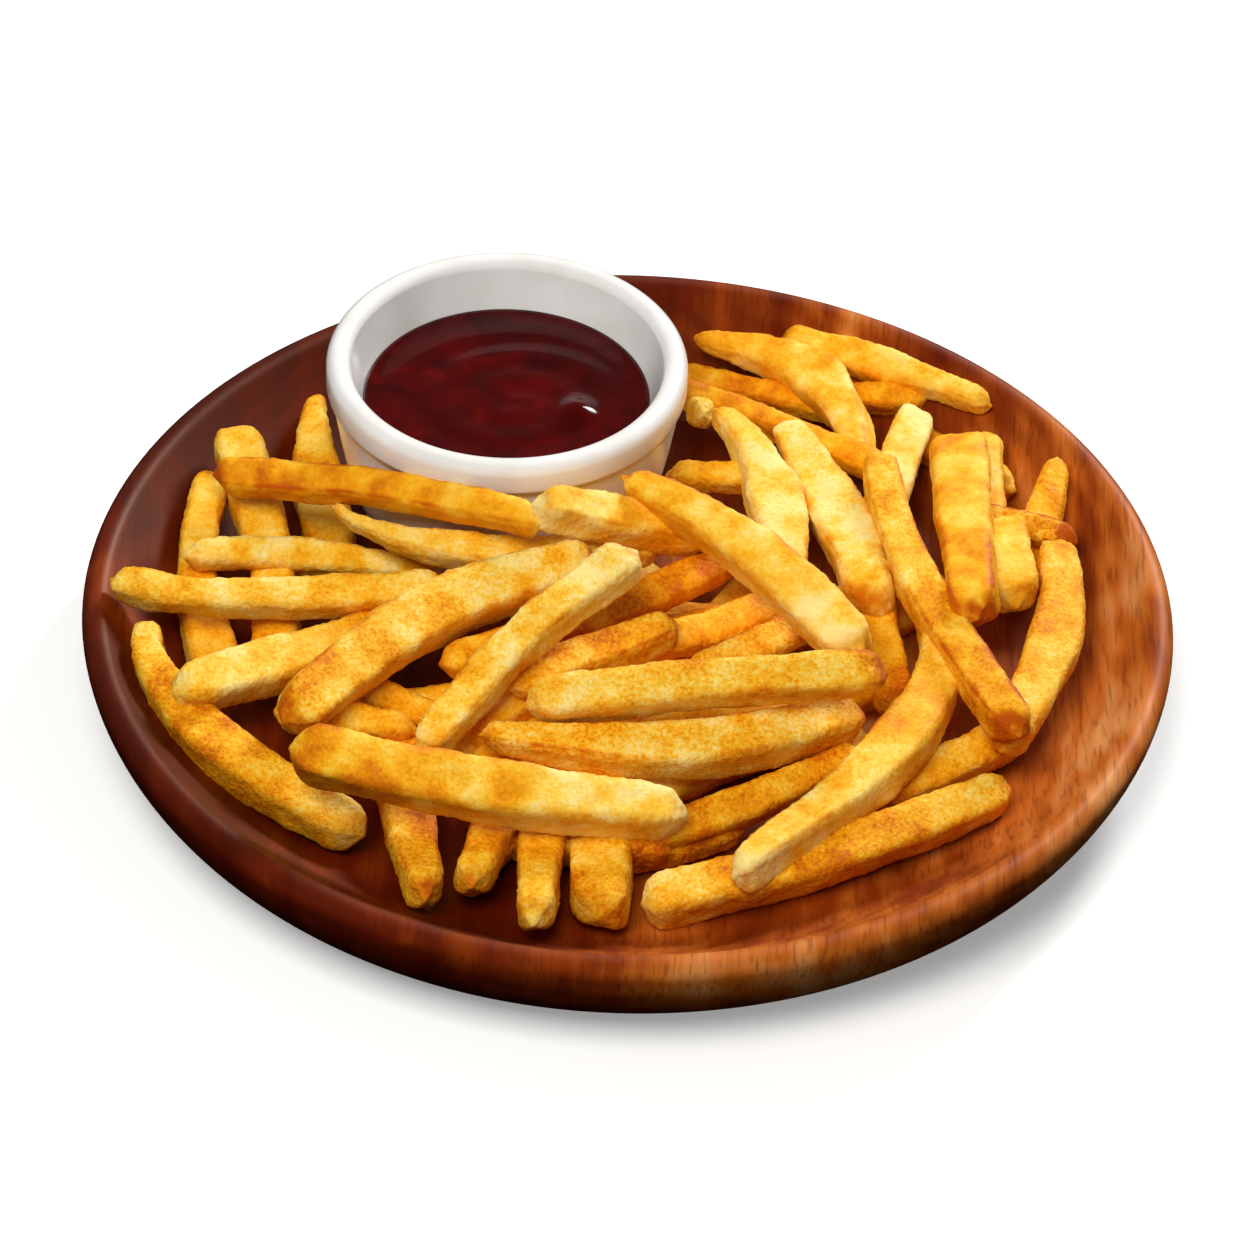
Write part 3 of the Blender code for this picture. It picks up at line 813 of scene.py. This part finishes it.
@dataclass(frozen=True)
class FrySweep:
    """Geometry Nodes that sweep every fry of a group along its own centre line.

    The guide mesh holds one chain of points for each fry. A fine closed bar is placed once for
    each chain, made real, and wrapped round the chain: its section is a rectangle with rounded
    corners, its ends are softened and cut at a slant, and its crust is pushed in and out.
    """

    corner: float = 2.1  # mm radius of the long edges
    lump: float = 0.5  # mm depth of the slow swells
    lump_span: float = 13.0
    crust: float = 0.3  # mm depth of the blistered crust
    crust_span: float = 2.0
    toast_reach: float = 8.0  # mm from an end that browns first
    bulge: float = 2.2  # mm that the middle of a cut face stands out

    def tree(self) -> bpy.types.NodeTree:
        """Build the node tree.

        Returns:
            The tree, whose sizes are named inputs in metres.
        """
        tree = bpy.data.node_groups.new("fry_sweep", "GeometryNodeTree")
        add = partial(add_node, tree)
        face = tree.interface
        face.new_socket("Geometry", in_out="INPUT", socket_type="NodeSocketGeometry")
        for name in ("Fries", "Rings", "Sides"):
            face.new_socket(name, in_out="INPUT", socket_type="NodeSocketInt")
        for name in self.inputs():
            face.new_socket(name, in_out="INPUT", socket_type="NodeSocketFloat")
        face.new_socket("Finish", in_out="INPUT", socket_type="NodeSocketMaterial")
        face.new_socket("Geometry", in_out="OUTPUT", socket_type="NodeSocketGeometry")
        given = add("NodeGroupInput").outputs
        number = add("GeometryNodeInputIndex")
        points = add("GeometryNodePoints", inputs={"Count": given["Fries"]})
        bar = add(
            "GeometryNodeMeshCube",
            inputs={
                "Size": (2.0, 2.0, 2.0), "Vertices X": given["Rings"], "Vertices Y": given["Sides"],
                "Vertices Z": given["Sides"]
            }
        )
        placed = add("GeometryNodeInstanceOnPoints", inputs={"Points": points, "Instance": bar})
        numbered = add(
            "GeometryNodeStoreNamedAttribute", {"data_type": "INT", "domain": "INSTANCE"},
            {"Geometry": placed, "Name": "fry", "Value": number}
        )
        bars = add("GeometryNodeRealizeInstances", inputs={"Geometry": numbered})
        place = add("GeometryNodeInputPosition")
        along, side, top = add("ShaderNodeSeparateXYZ", inputs={0: place}).outputs

        # The share of the length, with its rings closer together near the two ends.
        square = add("ShaderNodeMath", "MULTIPLY", {0: along, 1: along})
        slower = add("ShaderNodeMath", "MULTIPLY_ADD", {0: square, 1: -0.25, 2: 1.25})
        eased = add("ShaderNodeMath", "MULTIPLY", {0: along, 1: slower})
        share = add("ShaderNodeMath", "MULTIPLY_ADD", {0: eased, 1: 0.5, 2: 0.5})

        # The chain's place and the three sets of values that it carries.
        chains = add("GeometryNodeMeshToCurve", inputs={"Mesh": given["Geometry"]})
        which = add("GeometryNodeInputNamedAttribute", {"data_type": "INT"}, {"Name": "fry"})
        sampled = {}
        for name in ("section", "ends", "looks"):
            stored = add("GeometryNodeInputNamedAttribute", {"data_type": "FLOAT_VECTOR"}, {"Name": name})
            sampled[name] = add(
                "GeometryNodeSampleCurve",
                {"data_type": "FLOAT_VECTOR", "mode": "FACTOR", "use_all_curves": False},
                {"Curves": chains, "Value": stored, "Factor": share, "Curve Index": which}
            )
        section = add("ShaderNodeSeparateXYZ", inputs={0: sampled["section"]}).outputs
        ends = add("ShaderNodeSeparateXYZ", inputs={0: sampled["ends"]}).outputs
        half_width, half_height, roll = section
        length, hollow, slant = ends

        # The rounded section: what lies past the inner rectangle is drawn into round corners.
        outer = add("ShaderNodeCombineXYZ", inputs={"Y": half_width, "Z": half_height})
        thinner = add("ShaderNodeMath", "MINIMUM", {0: half_width, 1: half_height})
        most = add("ShaderNodeMath", "MULTIPLY", {0: thinner, 1: 0.85})
        radius = add("ShaderNodeMath", "MINIMUM", {0: most, 1: given["Corner Radius"]})
        corner = add("ShaderNodeCombineXYZ", inputs={"Y": radius, "Z": radius})
        inner = add("ShaderNodeVectorMath", "SUBTRACT", {0: outer, 1: corner})
        against = add("ShaderNodeVectorMath", "SCALE", {0: inner, "Scale": -1.0})
        flat = add("ShaderNodeVectorMath", "MULTIPLY", {0: place, 1: outer})
        below = add("ShaderNodeVectorMath", "MINIMUM", {0: flat, 1: inner})
        core = add("ShaderNodeVectorMath", "MAXIMUM", {0: below, 1: against})
        past = add("ShaderNodeVectorMath", "SUBTRACT", {0: flat, 1: core})
        reach = add("ShaderNodeVectorMath", "ABSOLUTE", {0: past})
        reach = add("ShaderNodeSeparateXYZ", inputs={0: reach}).outputs
        longest = add("ShaderNodeMath", "MAXIMUM", {0: reach[1], 1: reach[2]})
        distance = add("ShaderNodeVectorMath", "LENGTH", {0: past})
        safe = add("ShaderNodeMath", "MAXIMUM", {0: distance.outputs["Value"], 1: 0.0001 * MM})
        pull = add("ShaderNodeMath", "DIVIDE", {0: longest, 1: safe})
        drawn = add("ShaderNodeVectorMath", "SCALE", {0: past, "Scale": pull})
        rounded = add("ShaderNodeVectorMath", "ADD", {0: core, 1: drawn})

        # The soft ends: the section shrinks over the last few millimetres.
        rest = add("ShaderNodeMath", "SUBTRACT", {0: 1.0, 1: share})
        nearest = add("ShaderNodeMath", "MINIMUM", {0: share, 1: rest})
        remaining = add("ShaderNodeMath", "MULTIPLY", {0: nearest, 1: length})
        inward = add(
            "ShaderNodeMath", {"operation": "DIVIDE", "use_clamp": True}, {0: remaining, 1: half_height}
        )
        outward = add("ShaderNodeMath", "SUBTRACT", {0: 1.0, 1: inward})
        bent = add("ShaderNodeMath", "POWER", {0: outward, 1: 2.4})
        taken = add("ShaderNodeMath", "MULTIPLY", {0: bent, 1: hollow})
        kept = add("ShaderNodeMath", "SUBTRACT", {0: 1.0, 1: taken})
        shrink = add("ShaderNodeMath", "SQRT", {0: kept})
        tapered = add("ShaderNodeVectorMath", "SCALE", {0: rounded, "Scale": shrink})
        rolled = add(
            "ShaderNodeVectorRotate", {"rotation_type": "X_AXIS"}, {"Vector": tapered, "Angle": roll}
        )
        across = add("ShaderNodeSeparateXYZ", inputs={0: rolled}).outputs

        # The cut faces: they bulge a little and stand at a slant.
        sizes = add("ShaderNodeVectorMath", "ABSOLUTE", {0: place})
        sizes = add("ShaderNodeSeparateXYZ", inputs={0: sizes}).outputs
        widest = add("ShaderNodeMath", "MAXIMUM", {0: sizes[1], 1: sizes[2]})
        narrowest = add("ShaderNodeMath", "MINIMUM", {0: sizes[1], 1: sizes[2]})
        dome = add("ShaderNodeMath", "MULTIPLY_ADD", {0: widest, 1: -self.bulge * MM, 2: self.bulge * MM})
        bulge = add("ShaderNodeMath", "MULTIPLY", {0: along, 1: dome})
        forward = add("ShaderNodeMath", "MULTIPLY_ADD", {0: across[1], 1: slant, 2: bulge})

        # The frame of the chain at that place.
        tangent = sampled["section"].outputs["Tangent"]
        left = add("ShaderNodeVectorMath", "CROSS_PRODUCT", {0: (0.0, 0.0, 1.0), 1: tangent})
        left = add("ShaderNodeVectorMath", "NORMALIZE", {0: left})
        up = add("ShaderNodeVectorMath", "CROSS_PRODUCT", {0: tangent, 1: left})
        settled = sampled["section"].outputs["Position"]
        for direction, amount in ((tangent, forward), (left, across[1]), (up, across[2])):
            step = add("ShaderNodeVectorMath", "SCALE", {0: direction, "Scale": amount})
            settled = add("ShaderNodeVectorMath", "ADD", {0: settled, 1: step})

        # What the finish reads: the looks, and how near a place is to a cut edge.
        near_end = add(
            "ShaderNodeMapRange",
            inputs={"Value": remaining, "From Max": given["Toast Reach"], "To Min": 1.0, "To Max": 0.0}
        )
        edge = add("ShaderNodeMath", "MAXIMUM", {0: narrowest, 1: near_end})
        dressed = add(
            "GeometryNodeStoreNamedAttribute", {"data_type": "FLOAT_VECTOR"},
            {"Geometry": bars, "Name": "looks", "Value": sampled["looks"]}
        )
        dressed = add(
            "GeometryNodeStoreNamedAttribute", {"data_type": "FLOAT"},
            {"Geometry": dressed, "Name": "edge", "Value": edge}
        )
        shaped = add("GeometryNodeSetPosition", inputs={"Geometry": dressed, "Position": settled})

        # The crust: slow swells and small blisters, pushed along the surface's own direction.
        pushes = []
        for span, depth, detail in (("Lump Span", "Lump Depth", 1.0), ("Crust Span", "Crust Depth", 3.0)):
            scale = add("ShaderNodeMath", "DIVIDE", {0: 1.0, 1: given[span]})
            noise = add("ShaderNodeTexNoise", inputs={"Scale": scale, "Detail": detail, "Roughness": 0.62})
            centred = add("ShaderNodeMath", "MULTIPLY_ADD", {0: noise, 1: 4.0, 2: -2.0})
            pushes.append(add("ShaderNodeMath", "MULTIPLY", {0: centred, 1: given[depth]}))
        push = add("ShaderNodeMath", "ADD", {0: pushes[0], 1: pushes[1]})
        outwards = add("GeometryNodeInputNormal")
        offset = add("ShaderNodeVectorMath", "SCALE", {0: outwards, "Scale": push})
        crusted = add("GeometryNodeSetPosition", inputs={"Geometry": shaped, "Offset": offset})
        smooth = add("GeometryNodeSetShadeSmooth", inputs={"Geometry": crusted})
        finished = add("GeometryNodeSetMaterial", inputs={"Geometry": smooth, "Material": given["Finish"]})
        add("NodeGroupOutput", inputs={"Geometry": finished})
        return tree

    def inputs(self) -> dict[str, float]:
        """Sizes for the tree's named inputs, in metres."""
        return {
            "Corner Radius": self.corner * MM, "Lump Depth": self.lump * MM, "Lump Span": self.lump_span * MM,
            "Crust Depth": self.crust * MM, "Crust Span": self.crust_span * MM,
            "Toast Reach": self.toast_reach * MM
        }


# The core and the lower layer, in millimetres, which only show between the fries above.
CORE_CENTRE = (8.0, -16.0)
CORE_RADIUS = 31.0
CORE_FOOT = 8.2
CORE_TOP = 19.0
CORE_WAVE = 1.6
LOWER_COUNT = 14
LOWER_LEVELS = (13.4, 13.8)
LOWER_LENGTHS = (52.0, 84.0)
LOWER_WIDTHS = (8.0, 11.0)
LOWER_CENTRE = -4.0
LOWER_SPREAD = 52.0
LOWER_FARTHEST = 80.0
LOWER_CLEAR_OF_RAMEKIN = 46.0
# Places where the plate shows between the fries: x, y and radius.
OPEN_SPOTS = (
    (-2.0, -42.0, 12.0), (16.0, -74.0, 9.0), (6.0, -84.0, 9.0), (-49.0, -14.0, 11.0), (32.0, -60.0, 12.0),
    (51.0, -53.0, 11.0), (17.0, 72.0, 14.0), (-35.0, -6.0, 9.0)
)


@dataclass
class Heap:
    """The heap: the fries that lie on top, and a lower layer that carries them."""

    finish: bpy.types.Material
    sweep: FrySweep
    chain_points: int = 17
    seed: int = 11
    lean: float = 26.0  # degrees that a fry lying from left to right turns its face to the front
    plump: float = 1.05  # share by which the crust swells a fry past its cut size

    def __post_init__(self) -> None:
        """Build the tree that all groups share."""
        self.tree = self.sweep.tree()
        self.chance = random.Random(self.seed)

    def chain(self, fry: Fry) -> list[Vector]:
        """Centre line of a fry, in millimetres, with a slight wander of its own."""
        tail, tip = Vector(fry.tail), Vector(fry.tip)
        along = (tip - tail).normalized()
        left = Vector((0.0, 0.0, 1.0)).cross(along).normalized()
        up = along.cross(left)
        sway, lift, phase = (self.chance.uniform(-1.0, 1.0) for _ in range(3))
        points = []
        for k in range(self.chain_points):
            share = k / (self.chain_points - 1)
            bow = fry.bow * sin(pi * share ** fry.curl)
            wander = 0.5 * sway * sin(tau * share + phase)
            point = tail.lerp(tip, share) + left * (bow + wander) + up * (0.5 * lift * sin(pi * share))
            points.append(point)
        return points

    def guide(self, name: str, fries: tuple[Fry, ...]) -> bpy.types.Mesh:
        """Make the guide mesh of a group: one chain of points for each fry.

        Args:
            name: Name of the mesh.
            fries: The fries of the group.

        Returns:
            A mesh of edges that carries each fry's section, ends and looks.
        """
        points, edges, values = [], [], {"section": [], "ends": [], "looks": []}
        for fry in fries:
            chain = self.chain(fry)
            length = (chain[-1] - chain[0]).length
            hollow, slant = self.chance.uniform(0.5, 0.85), self.chance.uniform(-0.35, 0.35)
            roll = self.chance.uniform(-8.0, 8.0) + self.lean * (chain[-1] - chain[0]).x / length
            twist = self.chance.uniform(-7.0, 7.0)
            swell = self.chance.uniform(0.0, tau)
            first = len(points)
            for k, point in enumerate(chain):
                share = k / (self.chain_points - 1)
                width = fry.between(fry.widths, share)
                height = min(fry.thickness, width + 2.0)
                width *= self.plump + 0.045 * sin(tau * 1.3 * share + swell)
                height *= self.plump + 0.045 * sin(tau * 1.7 * share + 2.0 * swell)
                turn = radians(roll + twist * (share - 0.5) * 2.0)
                points.append(point * MM)
                values["section"] += (0.5 * width * MM, 0.5 * height * MM, turn)
                values["ends"] += (length * MM, hollow, slant)
                values["looks"] += (fry.between(fry.tones, share), fry.between(fry.toast, share), fry.sand)
            edges += [(first + k, first + k + 1) for k in range(self.chain_points - 1)]
        mesh = bpy.data.meshes.new(name)
        mesh.from_pydata(points, edges, [])
        for key, numbers in values.items():
            mesh.attributes.new(key, "FLOAT_VECTOR", "POINT").data.foreach_set("vector", numbers)
        return mesh

    def build_group(self, name: str, fries: tuple[Fry, ...], rings: int, sides: int) -> bpy.types.Object:
        """Sweep the fries of a group into one piece.

        Args:
            name: Name of the piece.
            fries: The fries of the group.
            rings: Number of rings along each fry.
            sides: Number of points across each face.

        Returns:
            The piece.
        """
        carrier = bpy.data.objects.new(name + "_guide", self.guide(name + "_guide", fries))
        bpy.context.scene.collection.objects.link(carrier)
        modifier = carrier.modifiers.new("Sweep", "NODES")
        modifier.node_group = self.tree
        sizes = self.sweep.inputs() | {
            "Fries": len(fries), "Rings": rings, "Sides": sides, "Finish": self.finish
        }
        for item in self.tree.interface.items_tree:
            if item.in_out == "INPUT" and item.name in sizes:
                modifier[item.identifier] = sizes[item.name]
        depsgraph = bpy.context.evaluated_depsgraph_get()
        mesh = bpy.data.meshes.new_from_object(carrier.evaluated_get(depsgraph), depsgraph=depsgraph)
        mesh.name = name
        carrier.modifiers.remove(modifier)
        bpy.data.objects.remove(carrier, do_unlink=True)
        return add_piece(name, mesh, self.finish, "fried_potato", "fries")

    def lower_fries(self) -> tuple[Fry, ...]:
        """Fries of the two hidden layers on the plate's floor, laid at random but clear of the ramekin."""
        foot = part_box("ramekin")
        foot_x, foot_y = 0.5 * (foot[0].x + foot[1].x) / MM, 0.5 * (foot[0].y + foot[1].y) / MM
        laid: list[Fry] = []
        chance = random.Random(self.seed)
        while len(laid) < LOWER_COUNT:
            level = LOWER_LEVELS[len(laid) % len(LOWER_LEVELS)]
            angle = chance.uniform(0.0, pi)
            reach = 0.5 * chance.uniform(*LOWER_LENGTHS)
            spread = LOWER_SPREAD * sqrt(chance.random())
            bearing = chance.uniform(0.0, tau)
            x, y = LOWER_CENTRE + spread * cos(bearing), LOWER_CENTRE + spread * sin(bearing)
            ends = [(x + s * reach * cos(angle), y + s * reach * sin(angle)) for s in (-1.0, 1.0)]
            samples = [
                (x + s * reach * cos(angle), y + s * reach * sin(angle)) for s in (-1, -0.5, 0, 0.5, 1)
            ]
            if min(hypot(a - foot_x, b - foot_y) for a, b in samples) < LOWER_CLEAR_OF_RAMEKIN:
                continue
            if max(hypot(a, b) for a, b in ends) > LOWER_FARTHEST:
                continue
            if any(hypot(a - gx, b - gy) < gr for a, b in samples for gx, gy, gr in OPEN_SPOTS):
                continue
            width = chance.uniform(*LOWER_WIDTHS)
            laid.append(
                Fry(
                    (*ends[0], level), (*ends[1], level), (width, width, width - 1.0), width,
                    chance.uniform(-4.0, 4.0), 1.0, (0.6, 0.6, 0.6), (0.3, 0.3, 0.3), 0.4
                )
            )
        return tuple(laid)

    def build_core(self) -> bpy.types.Object:
        """Make the low mound of crumbs and broken ends in the middle, under the fries."""
        outline = []
        for k in range(13):
            angle = 0.5 * pi * k / 12
            outline.append((CORE_RADIUS * sin(angle), CORE_FOOT + (CORE_TOP - CORE_FOOT) * cos(angle)))
        mesh = turned_mesh("fries_core", outline + [(0.0, CORE_FOOT)], 72, CORE_CENTRE)
        for vertex in mesh.vertices:
            wave = sin(0.35 * vertex.co.x / MM) * sin(0.31 * vertex.co.y / MM)
            vertex.co.z += CORE_WAVE * MM * wave * (vertex.co.z / MM - CORE_FOOT) / (CORE_TOP - CORE_FOOT)
        # Painted shade: the core's deep tone stands for fries seen in shadow deep in the heap's gaps.
        looks = mesh.attributes.new("looks", "FLOAT_VECTOR", "POINT")
        looks.data.foreach_set("vector", (0.9, 0.2, 0.6) * len(mesh.vertices))
        return add_piece("fries_core", mesh, self.finish, "fried_potato", "fries")

    def build(self) -> None:
        """Make every group, the lower layer and the core."""
        self.build_core()
        for group in Group:
            self.build_group(*group.value)
        self.build_group("fries_lower", self.lower_fries(), 44, 7)


# ---------------------------------------------------------------- studio


@dataclass(frozen=True)
class Studio:
    """A pale floor, soft lights and the camera."""

    elevation: float = 39.8  # degrees
    distance: float = 1.5  # metres
    lens: float = 179.66
    tilt: float = 2.0  # degrees
    shift: tuple[float, float] = (0.0012, -0.0208)
    aim_height: float = 0.026

    def add_camera(self) -> None:
        """Place the camera and make it the scene's own."""
        data = bpy.data.cameras.new("camera")
        data.lens = self.lens
        data.sensor_width = 36.0
        data.shift_x, data.shift_y = self.shift
        data.clip_start, data.clip_end = 0.05, 20.0
        camera = bpy.data.objects.new("camera", data)
        angle = radians(self.elevation)
        aim = Vector((0.0, 0.0, self.aim_height))
        camera.location = aim + Vector((0.0, -cos(angle), sin(angle))) * self.distance
        turn = Euler((pi / 2.0 - angle, 0.0, 0.0)).to_matrix() @ Matrix.Rotation(radians(self.tilt), 3, "Z")
        camera.rotation_euler = turn.to_euler()
        bpy.context.scene.collection.objects.link(camera)
        bpy.context.scene.camera = camera

    def add_light(
        self, name: str, bearing: float, height: float, reach: float, size: float, power: float, tint: str,
        mirrored: bool
    ) -> None:
        """Add a square area light that faces the object.

        Args:
            name: Name of the light.
            bearing: Degrees round from the front, counted towards the right.
            height: Degrees above the horizon.
            reach: Distance from the object in metres.
            size: Side of the square in metres.
            power: Power in watts.
            tint: Colour in hex.
            mirrored: Whether it shows as a sheen; if not, it only brightens.
        """
        data = bpy.data.lights.new(name, "AREA")
        data.size = size
        data.energy = power
        data.color = linear(tint)[:3]
        light = bpy.data.objects.new(name, data)
        turn, rise = radians(bearing), radians(height)
        away = Vector((sin(turn) * cos(rise), -cos(turn) * cos(rise), sin(rise)))
        light.location = away * reach
        light.rotation_euler = away.to_track_quat("Z", "Y").to_euler()
        light.visible_glossy = mirrored
        bpy.context.scene.collection.objects.link(light)

    def add_sheet(self, name: str, level: float, tint: str, glow: float, seen: bool) -> None:
        """Add a wide sheet under the object, for the camera alone or for the bounced light alone.

        Args:
            name: Name of the sheet and of its finish.
            level: Height in millimetres.
            tint: Colour in hex.
            glow: Strength of its own light.
            seen: Whether the camera sees it; if not, it only takes up the light from above.
        """
        material, shader = new_material(name)
        shine = {"Emission Color": linear("FFFFFF"), "Emission Strength": glow}
        feed(material.node_tree, shader, {"Base Color": linear(tint), "Roughness": 0.9} | shine)
        mesh = bpy.data.meshes.new(name)
        half = 4.0
        corners = [(-half, -half), (half, -half), (half, half), (-half, half)]
        mesh.from_pydata([(x, y, level * MM) for x, y in corners], [], [(0, 1, 2, 3)])
        mesh.materials.append(material)
        sheet = bpy.data.objects.new(name, mesh)
        sheet.visible_camera = seen
        sheet.visible_diffuse = sheet.visible_glossy = not seen
        bpy.context.scene.collection.objects.link(sheet)

    def build(self) -> None:
        """Make the floor, the lights, the world and the camera."""
        self.add_sheet("floor", -0.4, "F4F4F4", 0.28, True)
        # Painted shade: a dark sheet that only bounced light meets, so the plate's belly and undersides stay
        # dark.
        self.add_sheet("shade", -0.8, "1C1410", 0.0, False)
        world = bpy.data.worlds.new("studio_air")
        bpy.context.scene.world = world
        world.use_nodes = True
        air = world.node_tree.nodes["Background"]
        air.inputs["Color"].default_value = linear("FBFAF8")
        air.inputs["Strength"].default_value = 0.2
        self.add_light("window", 148.0, 32.0, 1.4, 0.36, 15.0, "FFFEFC", True)
        self.add_light("fill", 335.0, 60.0, 1.6, 0.8, 20.0, "FFFCF7", False)
        bpy.context.scene.view_settings.view_transform = "Standard"
        self.add_camera()


def main() -> None:
    """Build the object and its studio in order."""
    logging.basicConfig(level=logging.INFO, format="%(message)s")
    Studio().build()
    Plate().build(OiledAcacia())
    ramekin = Ramekin()
    ramekin.build(WhiteGlaze())
    Ketchup(ramekin).build(TomatoKetchup())
    Heap(FriedPotato().build(), FrySweep()).build()


if __name__ == "__main__":
    main()
